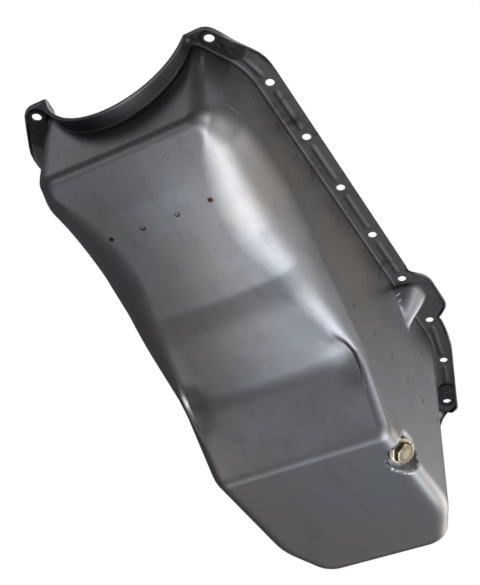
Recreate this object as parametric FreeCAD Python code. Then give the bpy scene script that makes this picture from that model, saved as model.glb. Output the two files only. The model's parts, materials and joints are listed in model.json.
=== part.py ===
import FreeCAD, Part
import math
import os

# Engine oil pan for a V8: a deep-drawn steel tub with its sump at the rear, a bolt
# flange all round, seal arches at both ends, a dipstick pocket on the driver's side,
# a baffle tray inside and a drain plug in a recess across the sump's lower edge.
# Millimetres. Origin: middle of the twelve evenly spaced rail bolts, on the gasket face.
# +X is the front of the engine, +Y the driver's side, +Z up towards the block.

V = FreeCAD.Vector
UP = V(0, 0, 1)
ALONG = V(1, 0, 0)
ACROSS = V(0, 1, 0)
REACH = 400.0                     # longer than the pan is wide, for cutting tools
OVER = 20.0                       # how far forms run on above the gasket face
SKEW = 50.0                       # how far the arch and recess tools reach
FUSE_TOLERANCE = 0.005

# Sheet metal
SHEET = 1.45                      # the pan itself
PLATE = 1.5                       # corner plates
BEND = 2.0                        # slanted bend from wall to flange, outer surface

# Bolt pattern, as x and distance from the centre line
RAIL_PITCH = 71.0
RAIL_HALF = 115.4
RAIL_BOLTS = 6
FRONT_CORNER = (244.4, 92.0)
REAR_RAIL = (-245.2, 102.7)
REAR_CORNER = (-312.6, 78.2)
RAIL_HOLE = 8.6                   # clears a 1/4 inch bolt
CORNER_HOLE = 9.8                 # clears a 5/16 inch bolt

# Flange outline
FLANGE_HALF = 126.5
FLANGE_FRONT = 258.0
FLANGE_REAR = -332.0
FRONT_SHOULDER_X = 207.0          # where the front taper leaves the straight rail
FRONT_TAB_Y = 96.5
REAR_SHOULDER_X = -208.0
REAR_TAB_Y = 83.5
TAB_RADIUS = 14.0
FRONT_SWEEP = 45.0
REAR_SWEEP = 150.0

# Lip turned down along the edge of the flange
LIP_DEPTH = 4.8
LIP_FADE = 60.0                   # length over which it runs out to nothing
FRONT_LIP_START = 185.0
REAR_LIP_START = -92.0

# Walls of the tub, outer surface
WALL_HALF = 104.0
SIDE_DRAFT = 0.043                # inward slope, mm per mm of depth
FRONT_WALL = 246.0
FRONT_DRAFT = 0.11
REAR_WALL = -305.0
REAR_DRAFT = 0.038
FRONT_CHAMFER = (45.0, 25.0)      # plan cut of the front corners, along X and Y
FRONT_CHAMFER_GROWTH = -0.05      # mm per mm of depth
REAR_CHAMFER = (96.0, 34.0)
REAR_CHAMFER_GROWTH = (-0.2, -0.04)
FRONT_CORNER_RADIUS = 14.0        # plan radius of the front corners at the flange
FRONT_CORNER_GROWTH = 0.2         # mm per mm of depth, up to its largest
FRONT_CORNER_LARGEST = 46.0
REAR_CORNER_RADIUS = 24.0
REAR_CORNER_GROWTH = 0.03
SHOULDER_RADIUS = 80.0            # between the chamfers and the side walls
SHOULDER_GROWTH = -0.26           # of the front ones

# Shallow front part, along the centre line: x and depth of each fold
RIDGE_DEPTH = 93.0
PAD_FRONT = (105.0, 117.8)
PAD_STEP = (67.4, 123.1)
STEP_FOOT = (37.8, 134.0)
SHALLOW_END = (-39.1, 146.4)
SHALLOW_EDGE = 31.0               # radius from its walls to its floor
PAD_BLEND = 60.0
FOOT_BLEND = 70.0
SHALLOW_REACH = 160.0             # depth that its walls run to, below its floor

# Sump
SUMP_DEPTH = 198.0
SUMP_FRONT = -101.0               # front edge of the sump's floor
SUMP_EDGE = 15.0
SUMP_FRONT_BLEND = 18.0
SUMP_TOP = 59.0                   # depth at which its slope ends inside the shallow part

# Seal arches: radius, height of the centre, and depth of the turned-down rim
FRONT_ARCH = (74.0, 15.4)
REAR_ARCH = (63.0, 8.0)
ARCH_RIM = 3.6

# Dipstick pocket: x, distance from the centre line and radius, top and tip
POCKET_TOP = (-130.5, 112.5, 19.5)
POCKET_TIP = (-146.5, 89.7, 4.3)
POCKET_DEPTH = 40.0
BUMP = (-98.0, -177.0)            # the flange's bump round it, from x to x
BUMP_HALF = 142.3
BUMP_RUN = 16.0
BUMP_RADIUS = 18.0
BUMP_FOOT = 5.0

# Stiffening beads pressed into the flange between the bolts
BEAD_WIDTH = 5.0
BEAD_HEIGHT = 0.9
BEAD_END = 12.0                   # from a bolt to the end of a bead
BEAD_SLOPE = 0.6

# Corner plates: where the far end of each lies
FRONT_PLATE_END = (221.5, 105.2)
REAR_PLATE_END = (-291.7, 86.6)
PLATE_WIDTH = 17.0

# Drain recess, insert, gasket and plug
DRAIN_HEIGHT = 14.6               # of the seat's middle above the sump's floor
DRAIN_SEAT = V(-142.5, 84.8, DRAIN_HEIGHT - SUMP_DEPTH)
DRAIN_TILT = 48.0                 # degrees that the plug points below level
SEAT_RADIUS = 16.5
SEAT_FLARE = 0.6                  # widening of the recess, mm per mm outwards
SQUARE_HOLE = 20.8
SQUARE_GAP = 0.2
SHOULDER_CHAMFER = 3.4
INSERT_SIZE = 22.0
INSERT_DEPTH = 9.0
SHANK = 12.6
SHANK_LENGTH = 14.5
SHANK_CHAMFER = 1.2
BORE_CLEARANCE = 0.07             # radial, between the shank and its hole
GASKET_THICKNESS = 1.6
GASKET_DIAMETER = 20.0
HEAD_DIAMETER = 26.4
HEAD_THICKNESS = 2.4
HEX_FLATS = 19.0
HEX_HEIGHT = 7.0
HEX_CHAMFER = 1.3
CROWN_SPREAD = 2.0                # widening of the chamfer's cone, mm per mm

# Baffle tray
TRAY_SHEET = 1.2
TRAY_GAP = 0.05                   # between the tray and the tub's inside
TRAY_FRONT = 172.0
TRAY_KNEE = 138.0                 # where it leaves the floor and runs level
TRAY_REAR = -226.0
SKIRT_FRONT = 12.0
SKIRT_HEIGHT = 16.0               # the skirts turn up from the deck
PICKUP_NOTCH = (70.0, 58.0)       # rear cut-out for the pump's pickup, along X and Y
NOTCH_RADIUS = 12.0


def rounded_wire(points, radii):
    """Closed wire of straight runs joined by tangent arcs."""
    rows = []
    for index, point in enumerate(points):
        radius = radii[index]
        if radius <= 0:
            rows.append((point, None, point))
            continue
        u = (points[index - 1] - point).normalize()
        v = (points[(index + 1) % len(points)] - point).normalize()
        half = u.getAngle(v) / 2
        reach = radius / math.tan(half)
        middle = point + (u + v).normalize() * (radius / math.sin(half) - radius)
        rows.append((point + u * reach, middle, point + v * reach))
    edges = []
    for index, (start, middle, end) in enumerate(rows):
        if middle is not None:
            edges.append(Part.Arc(start, middle, end).toShape())
        following = rows[(index + 1) % len(rows)][0]
        if (following - end).Length > 1e-6:
            edges.append(Part.makeLine(end, following))
    return Part.Wire(edges)


def inset(points, radii, distance, normal):
    """The outline moved inwards by a distance, with its arcs kept concentric."""
    lines = []
    for index, start in enumerate(points):
        along = (points[(index + 1) % len(points)] - start).normalize()
        lines.append((start + normal.cross(along) * distance, along))
    moved, turned = [], []
    for index, radius in enumerate(radii):
        start_a, a = lines[index - 1]
        start_b, b = lines[index]
        turn = a.cross(b).dot(normal)
        step = (start_b - start_a).cross(b).dot(normal) / turn
        moved.append(start_a + a * step)
        change = -distance if turn > 0 else distance
        turned.append(radius + change if radius > 0 else 0)
    return moved, turned


def mirrored(half):
    """The passenger's side of an outline, continuing the driver's side back to the front."""
    return [V(p.x, -p.y, p.z) for p in reversed(half)]


def side_slab(points, radii, distance=0):
    """A side view, moved in by a distance and extruded right across the pan."""
    if distance:
        points, radii = inset(points, radii, distance, ACROSS)
    face = Part.Face(rounded_wire(points, radii))
    face.translate(ACROSS * (-REACH / 2))
    return face.extrude(ACROSS * REACH)


def wall_outline(z, distance):
    """Plan of the tub's walls at height z, moved in by a distance."""
    side = WALL_HALF + SIDE_DRAFT * z
    front = FRONT_WALL + FRONT_DRAFT * z
    rear = REAR_WALL - REAR_DRAFT * z
    corner = min(FRONT_CORNER_RADIUS - FRONT_CORNER_GROWTH * z, FRONT_CORNER_LARGEST)
    shoulder = SHOULDER_RADIUS - SHOULDER_GROWTH * z
    rear_corner = REAR_CORNER_RADIUS - REAR_CORNER_GROWTH * z
    grown = -FRONT_CHAMFER_GROWTH * z
    along, across = (cut - growth * z for cut, growth in zip(REAR_CHAMFER, REAR_CHAMFER_GROWTH))
    half = [
        V(front, side - FRONT_CHAMFER[1] - grown, z),
        V(front - FRONT_CHAMFER[0] - grown, side, z),
        V(rear + along, side, z),
        V(rear, side - across, z),
    ]
    radii = [corner, shoulder, SHOULDER_RADIUS, rear_corner]
    return inset(half + mirrored(half), radii + radii[::-1], distance, UP)


def walls(distance, depth):
    """Drafted walls of the tub as one closed form, from above the flange down to a depth,
    with a section where the bend into the flange starts."""
    levels = (OVER, -SHEET - BEND + distance * (math.sqrt(2) - 1), -depth)
    return Part.makeLoft([rounded_wire(*wall_outline(z, distance)) for z in levels], True, True)


def floor_edges(form, open_end):
    """Edges between the walls and the floor, apart from an open end at x."""
    floor, upright = [], []
    for face in form.Faces:
        u0, u1, v0, v1 = face.ParameterRange
        height = face.normalAt((u0 + u1) / 2, (v0 + v1) / 2).z
        if height < -0.5:
            floor.append(face)
        elif height < 0.5:
            upright.append(face)
    edges = []
    for edge in form.Edges:
        low = any(edge.isSame(e) for face in floor for e in face.Edges)
        high = any(edge.isSame(e) for face in upright for e in face.Edges)
        if low and high and abs(edge.CenterOfMass.x - open_end) > SHEET:
            edges.append(edge)
    return edges


def drawn_form(points, radii, distance, edge_radius, depth, open_end=REACH):
    """A side view met with the drafted walls, its floor rounded into the walls."""
    form = side_slab(points, radii, distance).common(walls(distance, depth)).Solids[0]
    return form.makeFillet(edge_radius - distance, floor_edges(form, open_end))


def front_wall_x(z):
    return FRONT_WALL + FRONT_DRAFT * z


def rear_wall_x(z):
    return REAR_WALL - REAR_DRAFT * z


def shallow_form(distance):
    """Shallow front part, running on at its own slope into the sump."""
    slope = (SHALLOW_END[1] - STEP_FOOT[1]) / (STEP_FOOT[0] - SHALLOW_END[0])
    back = SUMP_FRONT
    points = [
        V(front_wall_x(OVER), 0, OVER),
        V(front_wall_x(-RIDGE_DEPTH), 0, -RIDGE_DEPTH),
        V(PAD_FRONT[0], 0, -PAD_FRONT[1]),
        V(PAD_STEP[0], 0, -PAD_STEP[1]),
        V(STEP_FOOT[0], 0, -STEP_FOOT[1]),
        V(back, 0, -SHALLOW_END[1] - slope * (SHALLOW_END[0] - back)),
        V(back, 0, OVER),
    ]
    radii = [0, 0, PAD_BLEND, 0, FOOT_BLEND, 0, 0]
    return drawn_form(points, radii, distance, SHALLOW_EDGE, SHALLOW_REACH, back)


def sump_form(distance):
    """Sump: its sloped front runs on up inside the shallow part."""
    slope = (SHALLOW_END[0] - SUMP_FRONT) / (SUMP_DEPTH - SHALLOW_END[1])
    points = [
        V(PAD_FRONT[0], 0, OVER),
        V(SUMP_FRONT + slope * (SUMP_DEPTH - SUMP_TOP), 0, -SUMP_TOP),
        V(SUMP_FRONT, 0, -SUMP_DEPTH),
        V(rear_wall_x(-SUMP_DEPTH), 0, -SUMP_DEPTH),
        V(rear_wall_x(OVER), 0, OVER),
    ]
    radii = [0, 0, SUMP_FRONT_BLEND, 0, 0]
    return drawn_form(points, radii, distance, SUMP_EDGE, SUMP_DEPTH + OVER)


def pocket(distance):
    """Slanted half-cone of the dipstick pocket."""
    rings = []
    for (x, y, radius), z in ((POCKET_TOP, 0.0), (POCKET_TIP, -POCKET_DEPTH)):
        rings.append((V(x, y, z), radius - distance))
    (top, wide), (tip, narrow) = rings
    run = (top - tip) * (OVER / POCKET_DEPTH)
    grow = (wide - narrow) * OVER / POCKET_DEPTH
    mouth = Part.Wire(Part.makeCircle(wide + grow, top + run, UP))
    end = Part.Wire(Part.makeCircle(narrow, tip, UP))
    return Part.makeLoft([mouth, end], True, True)


def drain_frame():
    """Placement whose Z axis points out along the drain plug, at the seat."""
    tilt = math.radians(DRAIN_TILT)
    out = V(0, math.cos(tilt), -math.sin(tilt))
    return FreeCAD.Placement(DRAIN_SEAT, FreeCAD.Rotation(ALONG, ALONG.cross(out), out, "ZXY"))


def placed(shape):
    shape = shape.copy()
    shape.Placement = drain_frame().multiply(shape.Placement)
    return shape


def recess(distance):
    """Round flared recess that the drain sits in, for the outer or the inner surface."""
    spread = distance * (math.hypot(1, SEAT_FLARE) - SEAT_FLARE)
    base = SEAT_RADIUS + spread
    cone = Part.makeCone(base, base + SEAT_FLARE * SKEW, SKEW, V(0, 0, -distance))
    return placed(cone)


def tub(distance):
    """Closed form of the tub's outer surface, or of its inside at a distance of one sheet."""
    sump = sump_form(distance).cut(recess(distance))
    return shallow_form(distance).fuse((sump, pocket(distance)), FUSE_TOLERANCE).Solids[0]


def flange_outline():
    front = [V(FLANGE_FRONT, FRONT_TAB_Y, 0), V(FRONT_SHOULDER_X, FLANGE_HALF, 0)]
    bump = [
        V(BUMP[0], FLANGE_HALF, 0),
        V(BUMP[0] - BUMP_RUN, BUMP_HALF, 0),
        V(BUMP[1] + BUMP_RUN, BUMP_HALF, 0),
        V(BUMP[1], FLANGE_HALF, 0),
    ]
    rear = [V(REAR_SHOULDER_X, FLANGE_HALF, 0), V(FLANGE_REAR, REAR_TAB_Y, 0)]
    front_radii = [TAB_RADIUS, FRONT_SWEEP]
    rear_radii = [REAR_SWEEP, TAB_RADIUS]
    points = front + bump + rear + mirrored(front + rear)
    radii = front_radii + [BUMP_FOOT, BUMP_RADIUS, BUMP_RADIUS, BUMP_FOOT] + rear_radii
    radii += rear_radii[::-1] + front_radii[::-1]
    return points, radii


def prism(points, radii, top, bottom):
    face = Part.Face(rounded_wire(points, radii))
    face.translate(UP * bottom)
    return face.extrude(UP * (top - bottom))


def flange_lip():
    """Lip turned down at the corners and round the bump, fading out along the rails."""
    points, radii = flange_outline()
    ring = prism(points, radii, -SHEET / 2, -LIP_DEPTH)
    ring = ring.cut(prism(*inset(points, radii, SHEET, UP), 0, -LIP_DEPTH * 2))
    window = [
        V(FRONT_LIP_START, 0, -SHEET),
        V(FRONT_LIP_START + LIP_FADE, 0, -LIP_DEPTH),
        V(FRONT_LIP_START + LIP_FADE, 0, -LIP_DEPTH * 2),
        V(REAR_LIP_START - LIP_FADE, 0, -LIP_DEPTH * 2),
        V(REAR_LIP_START - LIP_FADE, 0, -LIP_DEPTH),
        V(REAR_LIP_START, 0, -SHEET),
    ]
    return ring.cut(side_slab(window, [0] * len(window)))


def arch_tube(x0, x1, radius, height):
    return Part.makeCylinder(radius, x1 - x0, V(x0, 0, height), ALONG)


def arch_bands():
    """Half-round seats for the end seals, each with its rim turned down."""
    front_radius, front_height = FRONT_ARCH
    rear_radius, rear_height = REAR_ARCH
    front_start = front_wall_x(-RIDGE_DEPTH) - SHEET
    rear_start = rear_wall_x(-SUMP_DEPTH) + SHEET
    bands = [
        arch_tube(front_start, FLANGE_FRONT, front_radius + SHEET, front_height),
        arch_tube(FLANGE_FRONT - SHEET, FLANGE_FRONT, front_radius + ARCH_RIM, front_height),
        arch_tube(FLANGE_REAR, rear_start, rear_radius + SHEET, rear_height),
        arch_tube(FLANGE_REAR, FLANGE_REAR + SHEET, rear_radius + ARCH_RIM, rear_height),
    ]
    below = Part.makeBox(2 * REACH, REACH, REACH, V(-REACH, -REACH / 2, -REACH))
    return [band.common(below) for band in bands]


def arch_cuts():
    front_radius, front_height = FRONT_ARCH
    rear_radius, rear_height = REAR_ARCH
    return [
        arch_tube(FLANGE_FRONT - SKEW, FLANGE_FRONT + OVER, front_radius, front_height),
        arch_tube(FLANGE_REAR - OVER, FLANGE_REAR + SKEW, rear_radius, rear_height),
    ]


def rail_x():
    middle = (RAIL_BOLTS - 1) / 2
    return [RAIL_PITCH * (index - middle) for index in range(RAIL_BOLTS)]


def bolt_holes():
    rows = [(x, RAIL_HALF, RAIL_HOLE) for x in rail_x()] + [(*REAR_RAIL, RAIL_HOLE)]
    rows += [(*FRONT_CORNER, CORNER_HOLE), (*REAR_CORNER, CORNER_HOLE)]
    tools = []
    for x, y, diameter in rows:
        for side in (1, -1):
            tools.append(Part.makeCylinder(diameter / 2, 2 * OVER, V(x, side * y, -OVER)))
    return tools


def capsule(start, end, width, z):
    """Round-ended slot outline from one point to another."""
    along = (end - start).normalize()
    across = UP.cross(along) * (width / 2)
    tip = along * (width / 2)
    lift = UP * z
    a, b = start + lift, end + lift
    edges = [
        Part.makeLine(a - across, b - across),
        Part.Arc(b - across, b + tip, b + across).toShape(),
        Part.makeLine(b + across, a + across),
        Part.Arc(a + across, a - tip, a - across).toShape(),
    ]
    return Part.Wire(edges)


def bead_lines():
    """Centre lines of the beads on the driver's side, then on the passenger's."""
    shoulder = V(rail_x()[-1], RAIL_HALF, 0)
    plate = V(*FRONT_PLATE_END, 0)
    rear_plate = V(*REAR_PLATE_END, 0)
    rear_bolt = V(*REAR_RAIL, 0)
    last = V(rail_x()[0], RAIL_HALF, 0)
    lines = []
    for side in (1, -1):
        spots = [V(x, RAIL_HALF, 0) for x in rail_x()]
        pairs = list(zip(spots[:-1], spots[1:]))
        if side == 1:
            pairs = [(a, b) for a, b in pairs if not BUMP[1] < (a.x + b.x) / 2 < BUMP[0]]
        pairs += [(shoulder, plate), (rear_bolt, last), (rear_plate, rear_bolt)]
        for a, b in pairs:
            step = (b - a).normalize() * BEAD_END
            a, b = a + step, b - step
            lines.append((V(a.x, side * a.y, 0), V(b.x, side * b.y, 0)))
    return lines


def beads(top, bottom, width):
    solids = []
    for a, b in bead_lines():
        spread = 2 * BEAD_SLOPE * (top - bottom)
        wires = [capsule(a, b, width, top), capsule(a, b, width - spread, bottom)]
        solids.append(Part.makeLoft(wires, True, True))
    return solids


def square_prism(size, chamfer, top, bottom):
    half = size / 2
    points = [V(half, half, 0), V(-half, half, 0), V(-half, -half, 0), V(half, -half, 0)]
    box = prism(points, [0] * 4, top, bottom)
    if chamfer:
        upright = [e for e in box.Edges if abs(e.tangentAt(e.FirstParameter).z) > 0.9]
        box = box.makeChamfer(chamfer, upright)
    return box


def bend(top, run, distance):
    """Slanted ring that turns the walls out into the flange, at 45 degrees."""
    spread = run * SIDE_DRAFT
    low = rounded_wire(*wall_outline(top - run, distance))
    points, radii = wall_outline(top - run, distance - run - spread)
    high = rounded_wire([point + UP * run for point in points], radii)
    return Part.makeLoft([low, high], True, True)


def pan_shell():
    """The whole stamping: tub, flange, lip, beads, arches, pocket, recess and holes."""
    above = Part.makeBox(2 * REACH, REACH, REACH, V(-REACH, -REACH / 2, 0))
    body = prism(*flange_outline(), 0, -SHEET)
    ribs = beads(-SHEET, -SHEET - BEAD_HEIGHT, BEAD_WIDTH)
    turn = bend(-SHEET, BEND, 0)
    for added in ([turn], [tub(0).cut(above)], arch_bands(), [flange_lip()], ribs):
        body = body.fuse(added, FUSE_TOLERANCE)
    hole = placed(square_prism(SQUARE_HOLE, 0, OVER / 2, -OVER))
    grooves = beads(0, -BEAD_HEIGHT, BEAD_WIDTH - BEAD_SLOPE * SHEET)
    mouth = bend(0, BEND + SHEET * (2 - math.sqrt(2)), SHEET)
    for removed in ([mouth], [tub(SHEET)], arch_cuts(), bolt_holes(), [hole], grooves):
        body = body.cut(removed)
    return body.Solids[0]


def corner_plate(bolt, far, side):
    """Doubler plate spot-welded under the flange at a corner bolt."""
    start = V(bolt[0], side * bolt[1], 0)
    finish = V(far[0], side * far[1], 0)
    outline = capsule(start, finish, PLATE_WIDTH, -SHEET - PLATE)
    hole = Part.makeCylinder(CORNER_HOLE / 2, 2 * OVER, start - UP * OVER)
    return Part.Face(outline).extrude(UP * PLATE).cut(hole)


def corner_plates():
    front = (FRONT_CORNER, FRONT_PLATE_END)
    rear = (REAR_CORNER, REAR_PLATE_END)
    return {
        "front_left_corner_plate": corner_plate(*front, 1),
        "front_right_corner_plate": corner_plate(*front, -1),
        "rear_left_corner_plate": corner_plate(*rear, 1),
        "rear_right_corner_plate": corner_plate(*rear, -1),
    }


def drain_insert():
    """Threaded insert: a block behind the sheet with a square shoulder in the hole."""
    block = square_prism(INSERT_SIZE, 0, -SHEET, -SHEET - INSERT_DEPTH)
    shoulder = square_prism(SQUARE_HOLE - 2 * SQUARE_GAP, SHOULDER_CHAMFER, 0, -SHEET)
    bore = Part.makeCylinder(SHANK / 2 + BORE_CLEARANCE, 2 * OVER, V(0, 0, -OVER))
    return placed(block.fuse(shoulder).cut(bore))


def drain_gasket():
    ring = Part.makeCylinder(GASKET_DIAMETER / 2, GASKET_THICKNESS)
    return placed(ring.cut(Part.makeCylinder(SHANK / 2 + BORE_CLEARANCE, GASKET_THICKNESS)))


def drain_plug():
    """Hex plug with a flange under its head and a plain shank where the thread runs."""
    head_start = GASKET_THICKNESS
    flange = Part.makeCylinder(HEAD_DIAMETER / 2, HEAD_THICKNESS, V(0, 0, head_start))
    shank = Part.makeCylinder(SHANK / 2, SHANK_LENGTH, V(0, 0, head_start - SHANK_LENGTH))
    tip = min(shank.Edges, key=lambda e: e.CenterOfMass.z)
    shank = shank.makeChamfer(SHANK_CHAMFER, [tip])
    corner = HEX_FLATS / math.sqrt(3)
    angles = [math.pi / 3 * index for index in range(6)]
    points = [V(corner * math.cos(angle), corner * math.sin(angle), 0) for angle in angles]
    base = head_start + HEAD_THICKNESS
    hexagon = prism(points, [0] * 6, base + HEX_HEIGHT, base)
    narrow = corner - HEX_CHAMFER * CROWN_SPREAD
    crown = Part.makeCone(narrow + HEX_HEIGHT * CROWN_SPREAD, narrow, HEX_HEIGHT, V(0, 0, base))
    return placed(flange.fuse([shank, hexagon.common(crown)]).removeSplitter())


def baffle_tray():
    """Folded sheet over the sump: tongue on the floor, level deck, skirts on the walls."""
    room = tub(SHEET + TRAY_GAP)
    floor = floor_height()
    knee = floor(TRAY_KNEE)
    deck = [
        V(TRAY_FRONT, 0, floor(TRAY_FRONT)),
        V(TRAY_KNEE, 0, knee),
        V(TRAY_REAR, 0, knee),
        V(TRAY_REAR, 0, knee + TRAY_SHEET),
        V(TRAY_KNEE, 0, knee + TRAY_SHEET),
        V(TRAY_FRONT, 0, floor(TRAY_FRONT) + TRAY_SHEET),
    ]
    tray = side_slab(deck, [0] * len(deck)).common(room)
    rim = room.cut(tub(SHEET + TRAY_GAP + TRAY_SHEET))
    corner = V(TRAY_REAR, -REACH / 2, knee)
    skirts = rim.common(Part.makeBox(SKIRT_FRONT - TRAY_REAR, REACH, SKIRT_HEIGHT, corner))
    length, width = PICKUP_NOTCH
    notch = [
        V(TRAY_REAR - OVER, width / 2, 0),
        V(TRAY_REAR - OVER, -width / 2, 0),
        V(TRAY_REAR + length, -width / 2, 0),
        V(TRAY_REAR + length, width / 2, 0),
    ]
    cut = prism(notch, [0, 0, NOTCH_RADIUS, NOTCH_RADIUS], REACH / 2, -REACH / 2)
    return tray.fuse(skirts).removeSplitter().cut(cut)


def floor_height():
    """Height of the inside of the shallow floor at x, ahead of the pad."""
    ridge_x = front_wall_x(-RIDGE_DEPTH)
    slope = (PAD_FRONT[1] - RIDGE_DEPTH) / (ridge_x - PAD_FRONT[0])
    rise = (SHEET + TRAY_GAP) * math.hypot(1, slope)

    def height(x):
        return -RIDGE_DEPTH - slope * (ridge_x - x) + rise

    return height


def main():
    os.makedirs("parts", exist_ok=True)
    nodes = {"pan_shell": pan_shell()}
    nodes.update(corner_plates())
    nodes["drain_insert"] = drain_insert()
    nodes["drain_gasket"] = drain_gasket()
    nodes["drain_plug"] = drain_plug()
    nodes["baffle_tray"] = baffle_tray()
    for name, shape in nodes.items():
        shape.exportStep("parts/" + name + ".step")
        print(name, len(shape.Solids), shape.isValid(), round(shape.Volume))


main()
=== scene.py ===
import json
import math

import bmesh
import bpy
import numpy as np
from bpy.props import FloatProperty, FloatVectorProperty, PointerProperty
from mathutils import Matrix, Vector


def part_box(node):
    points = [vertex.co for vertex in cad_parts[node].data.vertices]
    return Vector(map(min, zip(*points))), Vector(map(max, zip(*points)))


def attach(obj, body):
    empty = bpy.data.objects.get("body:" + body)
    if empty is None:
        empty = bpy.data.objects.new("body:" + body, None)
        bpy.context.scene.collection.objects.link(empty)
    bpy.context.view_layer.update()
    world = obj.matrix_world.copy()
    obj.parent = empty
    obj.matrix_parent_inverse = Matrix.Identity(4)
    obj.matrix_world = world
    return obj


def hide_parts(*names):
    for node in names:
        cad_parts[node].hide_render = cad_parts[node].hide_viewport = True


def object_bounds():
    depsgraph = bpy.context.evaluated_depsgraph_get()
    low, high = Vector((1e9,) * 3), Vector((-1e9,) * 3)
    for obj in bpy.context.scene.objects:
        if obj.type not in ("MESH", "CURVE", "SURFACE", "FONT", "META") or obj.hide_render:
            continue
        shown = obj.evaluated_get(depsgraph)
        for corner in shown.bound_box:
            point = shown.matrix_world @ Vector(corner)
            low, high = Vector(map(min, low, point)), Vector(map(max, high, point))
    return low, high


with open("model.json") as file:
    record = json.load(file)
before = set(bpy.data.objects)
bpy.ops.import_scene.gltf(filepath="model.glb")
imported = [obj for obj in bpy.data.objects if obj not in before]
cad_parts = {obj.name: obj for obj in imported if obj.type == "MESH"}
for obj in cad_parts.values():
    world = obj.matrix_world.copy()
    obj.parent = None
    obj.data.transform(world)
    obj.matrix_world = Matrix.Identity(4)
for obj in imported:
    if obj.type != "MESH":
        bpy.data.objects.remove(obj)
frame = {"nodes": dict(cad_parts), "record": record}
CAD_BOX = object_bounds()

bl_info = {
    "name": "Engine oil pan",
    "version": (1, 0, 0),
    "blender": (4, 5, 0),
    "location": "3D View > Sidebar > Oil Pan",
    "description": "Surfaces and finishes of a deep-drawn rear-sump oil pan",
    "category": "Add Mesh",
}

# Lengths below are millimetres in the frame of the part: x forward, y to the driver's
# side, z up, with the gasket face at z = 0. SCALE turns them into metres.
SCALE = 0.001

MOUNTS = {mount["name"]: mount for mount in frame["record"]["mounts"]}


def mount_x(name):
    return MOUNTS[name]["pos_m"][0] / SCALE


def mount_half(name):
    return MOUNTS[name]["dims"]["spacing_y_mm"] / 2


def mount_radius(name):
    return MOUNTS[name]["dims"]["hole_r_mm"]


# Bolt holes on the driver's side, as x and distance from the centre line, and their radii
RAIL_HALF = mount_half("rail_bolts_outer")
RAIL_X = sorted(
    side * MOUNTS[name]["dims"]["spacing_x_mm"] / 2
    for name in ("rail_bolts_outer", "rail_bolts_middle", "rail_bolts_inner")
    for side in (1, -1)
)[::-1]
FRONT_CORNER = (mount_x("front_corner_bolts"), mount_half("front_corner_bolts"))
REAR_RAIL = (mount_x("rear_rail_bolts"), mount_half("rear_rail_bolts"))
REAR_CORNER = (mount_x("rear_corner_bolts"), mount_half("rear_corner_bolts"))
RAIL_HOLE = mount_radius("rail_bolts_outer")
CORNER_HOLE = mount_radius("front_corner_bolts")
BOLT_LINE = [FRONT_CORNER] + [(x, RAIL_HALF) for x in RAIL_X] + [REAR_RAIL, REAR_CORNER]

# Box of the part: both ends of the flange, the bump and the sump's floor
PAN_LOW, PAN_HIGH = (np.array(corner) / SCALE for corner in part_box("pan_shell"))
FLANGE_FRONT = PAN_HIGH[0]
FLANGE_REAR = PAN_LOW[0]
FLANGE_HALF = -PAN_LOW[1]
BUMP_HALF = PAN_HIGH[1]
SUMP_DEPTH = -PAN_LOW[2]

SHEET = 1.45
WALL_HALF = 104.0
SIDE_DRAFT = 0.0445
FRONT_WALL = 246.0
FRONT_DRAFT = 0.1
REAR_WALL = -305.0
REAR_DRAFT = 0.038
FRONT_CHAMFER = (45.0, 25.0)
FRONT_CHAMFER_GROWTH = (-0.2, -0.08)    # per mm of depth, as all growths
REAR_CHAMFER = (96.0, 34.0)
REAR_CHAMFER_GROWTH = (-0.2, -0.04)
FRONT_CORNER_RADIUS = 14.0
FRONT_CORNER_GROWTH = 0.1175
REAR_CORNER_RADIUS = 24.0
REAR_CORNER_GROWTH = 0.03
SHOULDER_RADIUS = 80.0
SHOULDER_GROWTH = -0.40           # of the front ones
CORE_FRONT = 145.0                # stretch of the side walls whose stations stay at one x
CORE_REAR = -185.0
BEND = 2.6                        # concave bend between flange and walls, from outside

# Folds of the floor along the centre line: x, slope ahead of it and half its rounding
FLOOR_FOLDS = (
    (-101.0, 0.8336, 6.5),
    (-39.1, 0.1612, 13.0),
    (37.8, 0.368, 13.0),
    (67.4, 0.141, 3.5),
    (105.0, 0.1893, 9.0),
)
# Radius between walls and floor, at places of x from the sump forwards
EDGE_X = (-400.0, -100.0, -38.0, 40.0, 66.0, 112.0, 400.0)
EDGE_RADIUS = (15.0, 13.0, 12.0, 32.0, 37.0, 50.0, 50.0)
# The same from the front's middle round its corner, at stations of the plan's pieces
RIDGE_STATIONS = (0.0, 1.0, 2.0, 3.0, 4.0, 4.4, 4.9)
RIDGE_RADIUS = (10.0, 11.0, 22.0, 32.0, 36.0, 44.0, 50.0)

CROWN = 3.6                       # how far the shallow floor bulges in its middle
CROWN_HALF = 85.0
FLOOR_FADE = 12.0                 # run over which the edge's height blends into the floor

FRONT_ARCH = (74.0, 15.4)         # radius and height of the centre
REAR_ARCH = (63.0, 8.0)
ARCH_RIM = 3.6
LIP_DEPTH = 4.8
EDGE_STRIP = 2.6                  # strip along the flange's edge that turns down as a lip

TAB_RADIUS = 14.0
FRONT_TAB_Y = 96.5
FRONT_SHOULDER_X = 207.0
FRONT_SWEEP = 45.0
REAR_SHOULDER_X = -208.0
REAR_TAB_Y = 83.5
REAR_SWEEP = 150.0
BUMP = (-98.0, -177.0)
BUMP_RUN = 16.0
BUMP_RADIUS = 18.0
BUMP_FOOT = 5.0

# Dipstick pocket: x, y and radius of its half-cone at the flange, and their change per mm down
POCKET = (-130.5, 112.5, 19.5)
POCKET_RUN = (-0.4, -0.57, -0.38)
POCKET_POWER = 2.6                # 2 would give true circles
POCKET_ROUND = 4.5                # rounding where it meets the wall

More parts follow.
